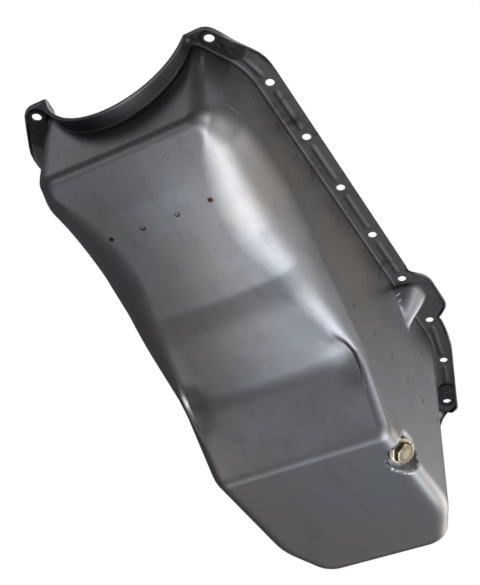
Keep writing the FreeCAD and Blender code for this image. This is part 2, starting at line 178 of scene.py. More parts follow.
DRAIN_SEAT = (-142.5, 84.8, -183.4)
DRAIN_TILT = math.radians(48.0)
SEAT_RADIUS = 16.5
SEAT_FLARE = 0.6
SEAT_FRONT = 13.0                 # of the recess's straight front side
SEAT_FRONT_ROUND = 1.0            # rounding of that side into the circle
SEAT_FOOT_ROUND = 1.6             # of the seat into the recess's wall
SEAT_RIM_ROUND = 1.8              # of that wall into the pan's
SEAT_REACH = 45.0                 # how far out and how deep the pressing can act
SEAT_BEHIND = -25.0
SQUARE_HOLE = 20.8

# Crescent hollow, here on the driver's side and mirrored: a line of points and its section
DENT_LINE = (
    (-9.0, 79.0, -141.0),
    (-21.8, 86.0, -142.5),
    (-36.0, 89.0, -146.0),
    (-50.3, 88.0, -155.1),
    (-62.3, 84.0, -166.0),
)
DENT_DEPTH = 3.6
DENT_STEP = 2.6                   # width of its steep outer side
DENT_FADE = 17.0                  # width over which it runs out towards the middle

# Plug, from its flange's seat on the gasket outwards
HEX_FLATS = 19.0
HEX_HEIGHT = 7.0
HEAD_RADIUS = 13.2
HEAD_THICKNESS = 2.4
SHANK_RADIUS = 6.3
SHANK_LENGTH = 14.5
GASKET_THICKNESS = 1.6
THREAD_DEPTH = 0.75
PLUG_SIDES = 144

# Spot welds: the tray's on the floor, and the row on the driver's wall
FLOOR_WELDS = ((163.0, -50.9), (163.0, -17.6), (163.0, 17.6), (163.0, 50.9))
SIDE_WELDS = (-20.0, -64.5, -104.7, -142.4, -180.0, -215.0)
SIDE_WELD_Z = -103.0

BEAD_WIDTH = 5.0
BEAD_HEIGHT = 1.1
BEAD_END = 12.0
FRONT_PLATE_END = (221.5, 105.2)
REAR_PLATE_END = (-291.7, 86.6)
PLATE_DOTS = (0.42, 0.84)         # shares of the way from the bolt to the plate's end

# Spacing of the stations: usual, near a bolt hole, along the pocket and drain, at both
# ends and at the front corner, and the x or y where each stretch starts and stops
STEP = 6.0
STEP_BY_HOLE = 2.2
NEAR_HOLE = 9.0
STEP_BY_DRAIN = 2.1
DRAIN_STRETCH = (-95.0, -180.0)
STEP_AT_ENDS = 3.0
ENDS = (225.0, -290.0)
STEP_AT_CORNER = 1.6
FRONT_CORNER_AT = (240.0, 60.0)

# Stretches of x over which the flange's edge turns down: front tab, rear tab and bump
FRONT_TAB_RAMP = (185.0, 235.0)
REAR_TAB_RAMP = (-215.0, -180.0)
BUMP_RAMP = (-184.0, -172.0, -104.0, -92.0)
BUMP_TURN = 0.62                  # of a full turn-down

# Grid of the drawn surface: stations round the wall by rows from the flange's edge in,
# down the wall, round the floor's edge and across to the middle
LAST = 11 - 1e-6                  # end of the last of the plan's eleven pieces
STATION_TABLE = 8801
BLOCK = 6.0                       # half of the square of grid round a bolt hole
CELLS = 4                         # its grid cells from the middle to each side
LIP_SHARES = (1.0, 0.66, 0.33, 0.08)
LIP_ROWS = len(LIP_SHARES)
HINGE_ROW = LIP_ROWS
FLANGE_ROWS = LIP_ROWS + 2 + 2 * CELLS + 1 + 1
HOLE_ROW = LIP_ROWS + 2 + CELLS
BEND_ROWS = 5
EDGE_ROWS = 18
MIDDLE_FRONT = 150.0              # stretch of the floor whose rows run straight across
MIDDLE_REAR = -262.0
MIDDLE_GAP = 6.0
EVENING = 3                       # passes that even out the walls and the floor
TRAY_GAP = 0.4                    # between the sheet and the trimmed tray
MERGE_DISTANCE = 0.000005         # in metres
SQUARE_CUT = 6.0                  # reach of the square cutter to each side of the seat


def length(name, default, description, **limits):
    return FloatProperty(
        name=name, description=description, default=default, unit="LENGTH", subtype="DISTANCE", **limits
    )


def amount(name, default, description, **limits):
    return FloatProperty(name=name, description=description, default=default, **limits)


def tone(name, default, description):
    return FloatVectorProperty(
        name=name, description=description, default=default, size=3, subtype="COLOR"
    )


class PanSettings(bpy.types.PropertyGroup):
    """Sizes and colours of the drawn shell"""

    sheet: length("Sheet", SHEET * SCALE, "Thickness of the drawn sheet", min=0.0005)
    bead_height: length("Bead height", BEAD_HEIGHT * SCALE, "How far a bead stands out")
    steel: tone("Steel", (0.34, 0.34, 0.34), "Colour of the bare sheet")
    # Also painted on the front arch's rim and on the wall just under it, as shade.
    flange: tone("Flange", (0.07, 0.07, 0.073), "Darker colour of the flange")
    # Colour of the specks, the weld marks and the darker strokes and patches on the driver's upper wall.
    soot: tone("Scuffs", (0.03, 0.028, 0.027), "Colour of scuffs and grime")
    rust: tone("Rust", (0.09, 0.035, 0.02), "Colour of the scorched weld spots")


class PlugSettings(bpy.types.PropertyGroup):
    """Sizes and colours of the drain plug and its gasket"""

    pitch: length("Pitch", 0.00127, "Lead of the plug's thread")
    chamfer: length("Chamfer", 0.0013, "Chamfer on the hexagon")
    zinc: tone("Zinc", (0.62, 0.57, 0.42), "Colour of the plating")
    worn: tone("Worn face", (0.16, 0.135, 0.105), "Dull face of the hexagon")
    stain: tone("Stain", (0.09, 0.08, 0.045), "Dark sides of the hexagon")
    fibre: tone("Fibre", (0.03, 0.03, 0.032), "Colour of the gasket")


class StageSettings(bpy.types.PropertyGroup):
    """Camera and light"""

    lens: amount("Lens", 78.93, "Focal length for a 36 mm wide sensor", min=1.0)
    ceiling: amount("Ceiling", 18.0, "Power of the softbox above in watts", min=0.0)
    studio: amount("Studio", 1.0, "Strength of the light all round", min=0.0)


def unit(vectors):
    """Vectors brought to length 1."""
    return vectors / np.linalg.norm(vectors, axis=-1, keepdims=True)


def raised(plan, height):
    """Points from their places in plan and a height."""
    return np.concatenate([plan, np.broadcast_to(height, plan.shape[:-1])[..., None]], -1)


def rounded(points, radii, spacing=2.0):
    """Polyline through corner points: each corner is replaced by an arc of its radius that
    touches both straight runs, sampled about every spacing millimetres."""
    points = [np.array(p, float) for p in points]
    rows = []
    for index, radius in enumerate(radii):
        point = points[index]
        if radius <= 0:
            rows.append(point[None])
            continue
        back = unit(points[index - 1] - point)
        ahead = unit(points[index + 1] - point)
        half = math.acos(np.clip(back @ ahead, -1, 1)) / 2
        centre = point + unit(back + ahead) * radius / math.sin(half)
        start = point + back * radius / math.tan(half) - centre
        end = point + ahead * radius / math.tan(half) - centre
        sweep = math.pi - 2 * half
        share = np.linspace(0, 1, max(3, int(sweep * radius / spacing) + 2))[:, None]
        arc = (np.sin((1 - share) * sweep) * start + np.sin(share * sweep) * end) / math.sin(sweep)
        rows.append(centre + arc)
    return np.concatenate(rows)


def flange_edge(bumped):
    """Half of the flange's outline, from the front on the centre line to the rear."""
    points = [(FLANGE_FRONT, 0), (FLANGE_FRONT, FRONT_TAB_Y), (FRONT_SHOULDER_X, FLANGE_HALF)]
    radii = [0, TAB_RADIUS, FRONT_SWEEP]
    if bumped:
        points += [
            (BUMP[0], FLANGE_HALF),
            (BUMP[0] - BUMP_RUN, BUMP_HALF),
            (BUMP[1] + BUMP_RUN, BUMP_HALF),
            (BUMP[1], FLANGE_HALF),
        ]
        radii += [BUMP_FOOT, BUMP_RADIUS, BUMP_RADIUS, BUMP_FOOT]
    points += [(REAR_SHOULDER_X, FLANGE_HALF), (FLANGE_REAR, REAR_TAB_Y), (FLANGE_REAR, 0)]
    radii += [REAR_SWEEP, TAB_RADIUS, 0]
    return rounded(points, radii)


def wall_plan(station, z):
    """Point and outward normal of the wall at height z. The plan is a chain of pieces: front
    line, corner arc, chamfer, shoulder arc, front run, core, rear run, shoulder arc,
    chamfer, corner arc and rear line. A station's whole part picks the piece and the rest
    is the share along it. Corners, chamfers and radii change with depth."""
    station, z = np.broadcast_arrays(station, z)
    side = WALL_HALF + SIDE_DRAFT * z
    front = FRONT_WALL + FRONT_DRAFT * z
    rear = REAR_WALL - REAR_DRAFT * z
    cut_x, cut_y = (cut - rate * z for cut, rate in zip(FRONT_CHAMFER, FRONT_CHAMFER_GROWTH))
    back_x, back_y = (cut - rate * z for cut, rate in zip(REAR_CHAMFER, REAR_CHAMFER_GROWTH))
    radius = FRONT_CORNER_RADIUS - FRONT_CORNER_GROWTH * z
    back_radius = REAR_CORNER_RADIUS - REAR_CORNER_GROWTH * z
    shoulder_radius = np.maximum(SHOULDER_RADIUS - SHOULDER_GROWTH * z, 1.0)
    piece = np.clip(np.floor(station), 0, 10).astype(int)
    share = station - piece

    turn = np.arctan2(cut_x, cut_y)
    corner = np.stack([front, side - cut_y])
    shoulder = np.stack([front - cut_x, side])
    along = np.stack([-np.sin(turn), np.cos(turn)])
    reach = radius * np.tan(turn / 2)
    front_end = corner[1] - reach
    cut_start = corner + along * reach
    rest = np.pi / 2 - turn
    swing = shoulder_radius * np.tan(rest / 2)
    cut_end = shoulder - along * swing

    back_turn = np.arctan2(back_y, back_x)
    back_along = np.stack([-np.cos(back_turn), -np.sin(back_turn)])
    back_shoulder = np.stack([rear + back_x, side])
    back_corner = np.stack([rear, side - back_y])
    back_swing = SHOULDER_RADIUS * np.tan(back_turn / 2)
    last_turn = math.pi / 2 - back_turn
    back_reach = back_radius * np.tan(last_turn / 2)
    back_start = back_shoulder + back_along * back_swing
    back_end = back_corner - back_along * back_reach

    def line(a, b, angle):
        return a[0] + (b[0] - a[0]) * share, a[1] + (b[1] - a[1]) * share, angle

    def arc(x, y, r, angle, sweep):
        at = angle + sweep * share
        return x + r * np.cos(at), y + r * np.sin(at), at

    rows = [
        line((front, 0), (front, front_end), 0.0),
        arc(front - radius, front_end, radius, 0, turn),
        line(cut_start, cut_end, turn),
        arc(shoulder[0] - swing, side - shoulder_radius, shoulder_radius, turn, rest),
        line((shoulder[0] - swing, side), (CORE_FRONT, side), math.pi / 2),
        line((CORE_FRONT, side), (CORE_REAR, side), math.pi / 2),
        line((CORE_REAR, side), (back_shoulder[0] + back_swing, side), math.pi / 2),
        arc(back_shoulder[0] + back_swing, side - SHOULDER_RADIUS, SHOULDER_RADIUS, math.pi / 2, back_turn),
        line(back_start, back_end, math.pi / 2 + back_turn),
        arc(rear + back_radius, back_corner[1] - back_reach, back_radius,
            math.pi / 2 + back_turn, last_turn),
        line((rear, back_corner[1] - back_reach), (rear, 0), math.pi),
    ]
    x, y, angle = (np.choose(piece, column) for column in zip(*rows))
    return np.stack([x, y], -1), np.stack([np.cos(angle), np.sin(angle)], -1)


def station_through(points):
    """Stations whose normal line at the gasket face passes through each point."""
    table = np.linspace(0, LAST, STATION_TABLE)
    base, normal = wall_plan(table, 0.0)
    away = np.asarray(points, float)[:, None, :] - base
    side = away[..., 0] * normal[:, 1] - away[..., 1] * normal[:, 0]
    out = (away * normal).sum(-1)
    side = np.where(out > 0, np.abs(side), 1e3)
    best = (side + 0.02 * np.maximum(out, 0)).argmin(1)
    return table[best]


def bolt_line_distance(station):
    """Distance from the wall's plan to the bolt line, along each station's normal."""
    at = station_through(BOLT_LINE)
    base, normal = wall_plan(at, 0.0)
    reach = ((np.array(BOLT_LINE) - base) * normal).sum(-1)
    places = np.r_[0.0, at[0] - 0.5, at, at[-1] + 0.5, 11.0]
    return np.interp(station, places, np.r_[7, 7, reach, 9, 9])


def edge_distance(station, bumped):
    """Distance from the wall's plan to the flange's outline, along each station's normal:
    the nearest crossing of the normal with the outline's runs."""
    base, normal = (v[:, None] for v in wall_plan(station, 0.0))
    outline = flange_edge(bumped)
    a, run = outline[:-1][None], np.diff(outline, axis=0)[None]
    cross = normal[..., 0] * run[..., 1] - normal[..., 1] * run[..., 0]
    cross = np.where(np.abs(cross) < 1e-9, 1e-9, cross)
    gap = a - base
    out = (gap[..., 0] * run[..., 1] - gap[..., 1] * run[..., 0]) / cross
    share = (gap[..., 0] * normal[..., 1] - gap[..., 1] * normal[..., 0]) / cross
    good = (share > -1e-6) & (share < 1 + 1e-6) & (out > 0)
    return np.where(good, out, 1e3).min(1)


def stations():
    """Stations from front to rear: a block of close ones at each bolt hole, and between
    blocks a spacing that is fine near holes, folds, pocket and drain and coarse elsewhere.
    Also returns the place of each hole's middle station."""
    line = np.array(BOLT_LINE)
    ahead = np.gradient(line, axis=0)
    ahead[1:-2] = (-1, 0)
    ahead[0] = (-FRONT_CHAMFER[0], FRONT_CHAMFER[1])
    ahead[-2:] = (-REAR_CHAMFER[0], -REAR_CHAMFER[1])
    offsets = np.arange(-CELLS, CELLS + 1) * BLOCK / CELLS
    blocks = [station_through(spot + offsets[:, None] * step) for spot, step in zip(line, unit(ahead))]
    table = np.linspace(0, LAST, STATION_TABLE)
    base = wall_plan(table, 0.0)[0]
    length = np.r_[0, np.cumsum(np.linalg.norm(np.diff(base, axis=0), axis=1))]
    starts = [0.0] + [block[-1] for block in blocks]
    stops = [block[0] for block in blocks] + [LAST]
    rows = [np.zeros(1)]
    middles = []
    for index, (start, stop) in enumerate(zip(starts, stops)):
        low, high = np.interp([start, stop], table, length)
        inner = np.linspace(low, high, 400)
        x, y = (np.interp(inner, length, base[:, k]) for k in range(2))
        near = np.minimum(inner - low, high - inner)
        step = np.where(near < NEAR_HOLE, STEP_BY_HOLE, STEP)
        step = np.where((x < DRAIN_STRETCH[0]) & (x > DRAIN_STRETCH[1]), STEP_BY_DRAIN, step)
        for fold_x, _, half in FLOOR_FOLDS:
            step = np.where(np.abs(x - fold_x) < half + 1.5, np.minimum(step, half / 2.2), step)
        step = np.where((x > ENDS[0]) | (x < ENDS[1]), STEP_AT_ENDS, step)
        step = np.where((x > FRONT_CORNER_AT[0]) & (y > FRONT_CORNER_AT[1]), STEP_AT_CORNER, step)
        count = np.r_[0, np.cumsum(np.diff(inner) / step[1:])]
        pieces = max(1, int(round(count[-1])))
        cuts = np.interp(np.arange(1, pieces) * count[-1] / pieces, count, inner)
        rows.append(np.interp(cuts, length, table))
        if index < len(blocks):
            middles.append(sum(row.size for row in rows) + CELLS)
            rows.append(blocks[index])
    rows.append(np.array([11 - 1e-9]))
    return np.concatenate(rows), middles


def fold(x, at, half):
    """Ramp that is 0 before a fold and rises by x beyond it, rounded over half each way."""
    t = np.clip(x - at + half, 0, 2 * half)
    return t * t / (4 * half) + np.maximum(x - at - half, 0)


def floor_height(x):
    """Floor: flat sump, then a chain of slopes forwards, each fold rounded."""
    slope, height = 0.0, -SUMP_DEPTH + 0 * x
    for at, steeper, half in FLOOR_FOLDS:
        height = height + (steeper - slope) * fold(x, at, half)
        slope = steeper
    return height


def crown(x, y, z):
    """Bulge of the shallow floor: full on the centre line, gone at the sides, fading out
    towards the sump, the front ridge and up the walls."""
    across = np.clip(np.abs(y) / CROWN_HALF, 0, 1)
    along = np.interp(x, [-95, -50, 185, 232], [0, 1, 1, 0.3])
    return CROWN * (1 - across**2) ** 2 * along * np.interp(z, [-92, -72], [1, 0])


def soft_min(a, b, width):
    """Smaller of two values, rounded where they are within width of each other."""
    h = np.clip(0.5 + 0.5 * (b - a) / width, 0, 1)
    return b + (a - b) * h - width * h * (1 - h)


def underside(x, y):
    """Height of the flange's lower face: level, and over each seal arch a half round."""
    level = -SHEET + 0 * x
    for (radius, height), mask in ((FRONT_ARCH, x > 0), (REAR_ARCH, x <= 0)):
        outer = radius + SHEET
        bow = height - np.sqrt(np.maximum(outer**2 - y**2, 1.0))
        bow = np.where(np.abs(y) < outer - 1e-3, bow, height)
        level = np.where(mask, soft_min(level, np.minimum(bow, 6.0), 1.2), level)
    return level


def corner_arc(point, up, inward, radius, count):
    """Round between two straight runs that meet at a point, as count rows from one to the
    other: the arc touches both, at radius over tan of half their angle from the point."""
    cosine = (up * inward).sum(-1, keepdims=True)
    half = np.arccos(np.clip(cosine, -0.999, 0.999)) / 2
    centre = point + unit(up + inward) * radius / np.sin(half)
    reach = radius / np.tan(half)
    start = point + up * reach - centre
    end = point + inward * reach - centre
    sweep = np.pi - 2 * half
    share = np.linspace(0, 1, count)[None, :, None]
    start, end, sweep = start[:, None], end[:, None], sweep[:, None]
    arc = (np.sin((1 - share) * sweep) * start + np.sin(share * sweep) * end) / np.sin(sweep)
    return centre[:, None] + arc


def shares(stops):
    """Shares from 0 to 1 with a given number of equal cells in each stretch."""
    runs = zip(stops[:-1], stops[1:])
    rows = [np.linspace(a, b, count, endpoint=False) for (a, count), (b, _) in runs]
    return np.concatenate(rows + [[stops[-1][0]]])


WALL_SHARES = shares([(0.0, 14), (0.2, 9), (0.68, 17), (1.0, 0)])
FLOOR_SHARES = shares([(0.0, 9), (0.26, 9), (1.0, 0)])


def middle_line(end):
    """Where each station's floor row meets the centre line: straight across, apart from the
    front's and the rear's stations, which share the line's ends evenly along their run."""
    run = np.r_[0, np.cumsum(np.linalg.norm(np.diff(end[:, :2], axis=0), axis=1))]
    first = np.argmax(end[:, 0] < MIDDLE_FRONT)
    last = end.shape[0] - 1 - np.argmax(end[::-1, 0] > MIDDLE_REAR)
    places = (run[0], run[first], run[last], run[-1])
    ends = (end[0, 0] - MIDDLE_GAP, end[first, 0], end[last, 0], end[-1, 0] + MIDDLE_GAP)
    across = np.interp(run, places, ends)
    inside = (np.arange(run.size) >= first) & (np.arange(run.size) <= last)
    return np.where(inside, end[:, 0], across)


def half_shell(station, bumped):
    """Outer surface of one side as a grid: stations round the wall by rows from the
    flange's edge in, down the wall, round the floor's edge and across to the middle."""
    count = station.size
    base, normal = wall_plan(station, 0.0)
    edge = edge_distance(station, bumped)
    bolt = bolt_line_distance(station)
    x, y = base.T
    tab = np.interp(x, FRONT_TAB_RAMP, [0, 1]) + np.interp(x, REAR_TAB_RAMP, [1, 0])
    if bumped:
        tab = tab + np.interp(x, BUMP_RAMP, [0, BUMP_TURN, BUMP_TURN, 0])
    tab = np.clip(tab, 0, 1)
    arched = np.abs(y) < np.where(x > 0, FRONT_ARCH[0] - 1.5, REAR_ARCH[0] - 1.5)

    turn = np.where(arched, 1.0, tab) * math.pi / 2
    strip = EDGE_STRIP + (LIP_DEPTH - SHEET - EDGE_STRIP) * tab
    strip = np.where(arched, ARCH_RIM - SHEET + 0.6, strip)
    hinge = edge - SHEET * np.sin(turn) - strip * np.cos(turn)

    def at(distance):
        """Points on the underside at a distance out from the wall's plan."""
        plan = base[:, None] + normal[:, None] * distance[..., None]
        return raised(plan, underside(plan[..., 0], plan[..., 1]))

    start = at(hinge[:, None])[:, 0]
    radial = start - raised(start[:, :1] * (1, 0), np.where(x > 0, FRONT_ARCH[1], REAR_ARCH[1]))
    down = np.where(arched[:, None], unit(radial), np.array([0, 0, -1.0]))
    lean = raised(normal, 0.0) * np.cos(turn)[:, None] + down * np.sin(turn)[:, None]
    lip = start[:, None] + lean[:, None] * (strip[:, None] * LIP_SHARES)[..., None]

    inner = BEND * 1.3
    room = np.minimum(hinge - 0.8 - bolt, bolt - inner) * 0.8
    block = np.clip(room, 0.8, BLOCK)
    rim = hinge - 0.5
    rows = [rim, (rim + (bolt + block)) / 2]
    rows += [bolt + block * offset for offset in np.arange(CELLS, -CELLS - 1, -1) / CELLS]
    rows += [((bolt - block) + inner) / 2 + 0.4]
    flange = at(np.stack(rows, 1))

    top = at(np.zeros((count, 1)))[:, 0, 2]
    for _ in range(3):
        plan = wall_plan(station, top)[0]
        top = underside(plan[:, 0], plan[:, 1])
    top = np.maximum(top, -80)
    down_run = unit(raised(wall_plan(station, top - 20)[0] - plan, -20.0))
    crest = raised(plan, top)
    out_run = unit(at(np.full((count, 1), 3.0))[:, 0] - crest)
    bend = corner_arc(crest, out_run, down_run, BEND, BEND_ROWS)

    depth = -100.0
    for _ in range(12):
        foot = wall_plan(station, depth)[0]
        depth = 0.5 * depth + 0.5 * floor_height(foot[:, 0])
    foot, side = wall_plan(station, depth)
    corner = raised(foot, depth)
    up = unit(raised(wall_plan(station, depth + 10)[0] - foot, 10.0))
    step = foot - side * 3.0
    inward = unit(raised(step, floor_height(step[:, 0])) - corner)
    radius = np.interp(foot[:, 0], EDGE_X, EDGE_RADIUS)
    radius = np.minimum(radius, np.interp(station, RIDGE_STATIONS, RIDGE_RADIUS))
    edge_rows = corner_arc(corner, up, inward, radius[:, None], EDGE_ROWS)

    low, high = edge_rows[:, 0, 2], bend[:, -1, 2]
    z = high[:, None] + (low - high)[:, None] * WALL_SHARES[1:-1]
    wall = raised(wall_plan(station[:, None], z)[0], z)
    share = WALL_SHARES[1:-1, None]
    shift_top = (bend[:, -1, :2] - wall_plan(station, high)[0])[:, None] * (1 - share) ** 3
    shift_low = (edge_rows[:, 0, :2] - wall_plan(station, low)[0])[:, None] * share ** 3
    wall[..., :2] += shift_top + shift_low

    end = edge_rows[:, -1]
    target = np.stack([middle_line(end), 0 * end[:, 0]], 1)
    plan = end[:, None, :2] + (target - end[:, :2])[:, None] * FLOOR_SHARES[1:, None]
    height = floor_height(plan[..., 0])
    drift = (end[:, 2] - floor_height(end[:, 0]))[:, None]
    run = np.linalg.norm(plan - end[:, None, :2], axis=-1)
    height = height + drift * np.exp(-run / FLOOR_FADE)
    grid = np.concatenate([lip, flange, bend, wall, edge_rows, raised(plan, height)], 1)
    first = FLANGE_ROWS + BEND_ROWS + 2
    for _ in range(EVENING):
        part = grid[:, first:-1]
        mean = (grid[:, first - 1:-2] + grid[:, first + 1:]) / 2
        grid[:, first:-1] = part + 0.5 * (mean - part)
    low = first + len(WALL_SHARES) - 6
    free = np.clip((station - 1.3) / 0.7, 0, 1) * np.clip((end[:, 0] - 95) / 20, 0, 1)
    for _ in range(EVENING * 4):
        part = grid[1:-1, low:]
        mean = (grid[:-2, low:] + grid[2:, low:]) / 2
        grid[1:-1, low:] = part + 0.5 * free[1:-1, None, None] * (mean - part)
    grid[..., 2] -= crown(grid[..., 0], grid[..., 1], grid[..., 2])
    return grid


def drain_axes():
    """Unit vectors across and out along the drain plug."""
    out = np.array([0, math.cos(DRAIN_TILT), -math.sin(DRAIN_TILT)])
    right = np.array([1.0, 0, 0])
    return right, np.cross(out, right), out


def press_recess(points):
    """Pushes the sheet in along the plug's axis to a flat seat with a flared round wall:
    the height over the seat is at most 0 within its radius, and beyond that it is the
    distance past the radius over the flare, with both edges rounded."""
    right, across, out = drain_axes()
    away = points - np.array(DRAIN_SEAT)
    reach = np.hypot(away @ right, away @ across)
    height = away @ out
    reach = -soft_min(-reach, -(away @ right + SEAT_RADIUS - SEAT_FRONT), SEAT_FRONT_ROUND)
    slant = (reach - SEAT_RADIUS) / SEAT_FLARE
    wall = -soft_min(-slant, np.zeros_like(slant), SEAT_FOOT_ROUND)
    limit = soft_min(height, wall, SEAT_RIM_ROUND)
    near = (reach < SEAT_REACH) & (height > SEAT_BEHIND)
    change = np.where(near, np.minimum(limit - height, 0), 0)
    return points + change[..., None] * out


def pocket_push(points):
    """How far the wall goes out to the dipstick pocket's half-cone: at each height a curve
    close to a circle, which shrinks and moves in with depth."""
    x, y, drop = points[..., 0], points[..., 1], -points[..., 2]
    centre_x = POCKET[0] + POCKET_RUN[0] * drop
    centre_y = POCKET[1] + POCKET_RUN[1] * drop
    radius = np.maximum(POCKET[2] + POCKET_RUN[2] * drop, 0.5)
    across = np.clip(np.abs(x - centre_x) / radius, 0, 1)
    bow = centre_y + radius * np.sqrt(np.maximum(1 - across**POCKET_POWER, 0))
    bow = np.where(np.abs(x - centre_x) < radius, bow, -1e3)
    pushed = -soft_min(-y, -bow, POCKET_ROUND)
    return np.where((bow > 0) & (y > 60), np.maximum(pushed - y, 0), 0)


def beads():
    """Start and end of each bead's centre line on the driver's side, then the passenger's."""
    spots = [(x, RAIL_HALF) for x in RAIL_X]
    pairs = list(zip(spots[:-1], spots[1:])) + [(spots[0], FRONT_PLATE_END)]
    pairs += [(REAR_RAIL, spots[-1]), (REAR_PLATE_END, REAR_RAIL)]
    rows = []
    for side in (1, -1):
        for a, b in pairs:
            middle = (a[0] + b[0]) / 2
            if side == 1 and BUMP[1] < middle < BUMP[0]:
                continue
            a_, b_ = np.array(a, float), np.array(b, float)
            step = (b_ - a_) / np.linalg.norm(b_ - a_) * BEAD_END
            rows.append([(a_ + step) * (1, side), (b_ - step) * (1, side)])
    return np.array(rows)


def bead_profile(plan):
    """Height of the beads at points in plan: a rounded hump over the distance to the
    nearest centre line."""
    lines = beads()
    a, run = lines[:, 0], lines[:, 1] - lines[:, 0]
    away = plan[..., None, :] - a
    share = np.clip((away * run).sum(-1) / (run * run).sum(-1), 0, 1)
    gap = np.linalg.norm(away - share[..., None] * run, axis=-1).min(-1)
    t = np.clip(gap / (BEAD_WIDTH / 2 + 0.5), 0, 1)
    return (1 - t * t) ** 2


def dent_profile(points):
    """Depth of the crescent hollows where the slope to the sump starts: full at a curve
    through a few points, gone within the step outside it and over the fade inside it."""
    line = np.array(DENT_LINE)
    share = np.linspace(0, len(line) - 1, 60)
    curve = np.stack([np.interp(share, np.arange(len(line)), line[:, k]) for k in range(3)], -1)
    mirrored = np.stack([points[..., 0], np.abs(points[..., 1]), points[..., 2]], -1)
    near = (np.abs(mirrored[..., 0] + 36) < 60) & (mirrored[..., 1] > 50)
    depth = np.zeros(points.shape[:-1])
    spots = mirrored[near]
    away = spots[:, None] - curve
    gap = np.linalg.norm(away, axis=-1)
    nearest = gap.argmin(-1)
    gap = gap.min(-1)
    level = away[np.arange(nearest.size), nearest]
    outside = level[:, 1] * 0.85 + level[:, 2] * 0.45 > 0
    width = np.where(outside, DENT_STEP, DENT_FADE)
    ends = np.sin(np.pi * np.clip(nearest / 59, 0.0, 1.0)) ** 0.7
    depth[near] = DENT_DEPTH * ends * np.exp(-((gap / width) ** 2))
    return depth


def grid_normals(grid):
    """Outward unit normals of a grid that closes on itself along its first axis: the cross
    product of the differences along it and across it, turned to face down at the floor."""
    along = np.roll(grid, -1, 0) - np.roll(grid, 1, 0)
    across = np.gradient(grid, axis=1)
    normal = np.cross(along, across)
    normal /= np.maximum(np.linalg.norm(normal, axis=-1, keepdims=True), 1e-9)
    return -normal if normal[grid.shape[0] // 4, -3, 2] > 0 else normal


def open_hole(grid, column, row, radius, centre):
    """Opens a bolt hole in a block of the grid: squares round the middle become rings that
    run from the hole's circle to the block's border. Returns the cells that are left out."""
    steps = np.arange(-CELLS, CELLS + 1)
    i = column + steps[:, None] + 0 * steps
    j = row + steps[None, :] + 0 * steps[:, None]
    block = grid[i % grid.shape[0], j]
    away = block[..., :2] - centre
    reach = np.maximum(np.linalg.norm(away, axis=-1, keepdims=True), 1e-6)
    ring = np.maximum(np.abs(steps[:, None]), np.abs(steps[None, :]))[..., None] / CELLS
    share = np.clip((ring - 0.5) / 0.5, 0, 1)
    circle = centre + away / reach * radius
    block[..., :2] = circle + (block[..., :2] - circle) * share
    grid[i % grid.shape[0], j] = block
    half = CELLS // 2
    cells_i = column + np.arange(-half, half)
    cells_j = row + np.arange(-half, half)
    return [(a % grid.shape[0], b) for a in cells_i for b in cells_j]


def mesh_object(name, vertices, faces):
    """Mesh object from vertices in millimetres and faces."""
    mesh = bpy.data.meshes.new(name)
    mesh.from_pydata((np.asarray(vertices) * SCALE).tolist(), [], faces)
    piece = bpy.data.objects.new(name, mesh)
    bpy.context.scene.collection.objects.link(piece)
    return piece


def smooth(piece, angle):
    """Shades a piece smooth, apart from edges over an angle in degrees."""
    piece.data.validate()
    piece.data.shade_smooth()
    piece.data.set_sharp_from_angle(angle=math.radians(angle))


def shell_mesh(settings):
    """The drawn sheet as one closed mesh: the outer surface, and a coarser inner one set
    in by the sheet's thickness along its normals, joined round the flange's edge. Also
    returns a grid just inside the sheet, from the walls' bend down."""
    sheet = settings.sheet / SCALE
    station, hole_columns = stations()
    driver = half_shell(station, True)
    passenger = half_shell(station, False)
    passenger[..., 1] *= -1
    rows = driver.shape[1]

    push = pocket_push(driver)[:, FLANGE_ROWS:]
    driver[:, FLANGE_ROWS:, 1] += push
    share = np.linspace(0, 1, FLANGE_ROWS - HINGE_ROW + 1)[1:-1]
    outer = driver[:, HINGE_ROW, 1][:, None]
    moved = outer + (driver[:, FLANGE_ROWS, 1][:, None] - outer) * share
    blend = np.clip(push[:, :1] / 9.0, 0, 1)
    between = driver[:, HINGE_ROW + 1:FLANGE_ROWS, 1]
    driver[:, HINGE_ROW + 1:FLANGE_ROWS, 1] = between + (moved - between) * blend
    driver = press_recess(driver)

    grid = np.concatenate([driver, passenger[-2:0:-1]], 0)
    columns = grid.shape[0]
    humps = bead_profile(grid[:, LIP_ROWS - 1:FLANGE_ROWS, :2]) * (settings.bead_height / SCALE)
    grid[:, LIP_ROWS - 1:FLANGE_ROWS, 2] -= humps
    grid = grid - grid_normals(grid) * dent_profile(grid)[..., None]

    left_out = []
    for column, (x, y) in zip(hole_columns, BOLT_LINE):
        radius = CORNER_HOLE if (x, y) in (FRONT_CORNER, REAR_CORNER) else RAIL_HOLE
        left_out += open_hole(grid, column, HOLE_ROW, radius, np.array([x, y]))
        left_out += open_hole(grid, columns - column, HOLE_ROW, radius, np.array([x, -y]))

    normal = grid_normals(grid)
    walls = FLANGE_ROWS + BEND_ROWS
    kept = np.r_[0:walls, walls:rows - 1:2, rows - 1]
    inner = (grid - normal * sheet)[:, kept]
    number = numbered(columns, rows)
    inner_number = numbered(columns, kept.size, columns * rows)
    parts = [
        quads(number, left_out),
        quads(inner_number, left_out)[:, ::-1],
        strip(number[:, 0], inner_number[:, 0]),
        hole_walls(number, inner_number, hole_columns, HOLE_ROW, columns),
    ]
    vertices = np.concatenate([grid.reshape(-1, 3), inner.reshape(-1, 3)])
    used, inverse = np.unique(np.concatenate(parts), return_inverse=True)
    room = (grid - normal * (sheet + TRAY_GAP))[:, kept[walls:]]
    return vertices[used], inverse.reshape(-1, 4).tolist(), room


